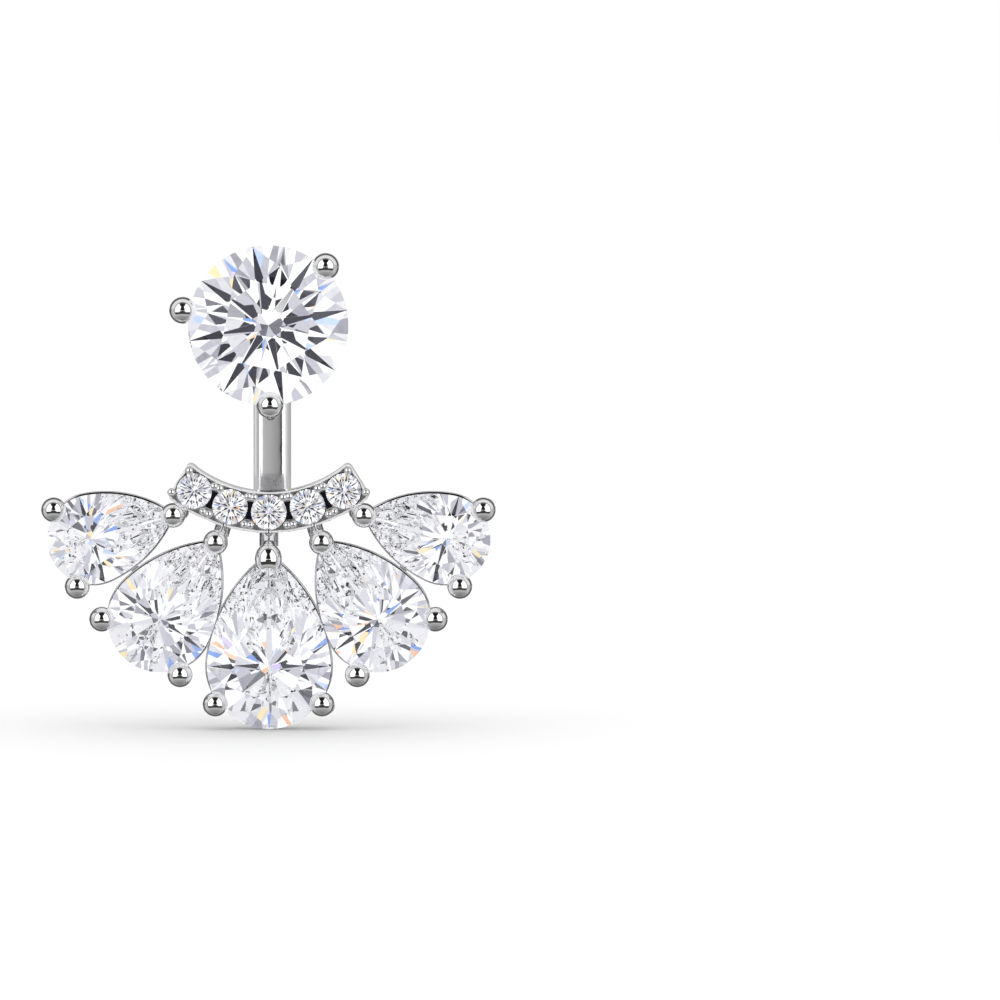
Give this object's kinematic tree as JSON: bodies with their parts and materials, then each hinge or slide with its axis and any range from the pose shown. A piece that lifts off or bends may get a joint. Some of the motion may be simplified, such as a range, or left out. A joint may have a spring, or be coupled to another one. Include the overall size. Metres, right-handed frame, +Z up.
{
  "type": "ear jacket earring",
  "caption": "Stud earring with a round stone, and a jacket on its post that comes under the lobe as a pave band with a fan of pear stones.",
  "frame": {"origin": "on the ear post's axis, in the middle of the ear lobe's gap", "axes": "+Z up as worn, +Y along the post from the stud towards its point, so the front faces -Y"},
  "size_m": [0.0182, 0.0152, 0.0194],
  "materials": {
    "white_metal": "mirror polished, rhodium white",
    "nut_metal": "polished sheet, rhodium white",
    "stud_stone": "clear white round brilliant, polished facets",
    "pear_stone": "clear white pear brilliant, polished facets",
    "small_stone": "clear white small round brilliant, polished facets"
  },
  "bodies": {
    "stud": {"stud_setting": "white_metal", "stud_stone": "stud_stone", "ear_nut": "nut_metal"},
    "jacket": {"jacket_frame": "white_metal", "pave_stone_1": "small_stone", "pave_stone_2": "small_stone", "pave_stone_3": "small_stone", "pave_stone_4": "small_stone", "pave_stone_5": "small_stone", "pear_stone_1": "pear_stone", "pear_stone_2": "pear_stone", "pear_stone_3": "pear_stone", "pear_stone_4": "pear_stone", "pear_stone_5": "pear_stone"}
  },
  "joints": [
    {"name": "jacket_swing", "type": "hinge", "parent": "stud", "child": "jacket", "pos_m": [0, 0.00265, 0], "axis": [0, 1, 0], "continuous": true}
  ]
}
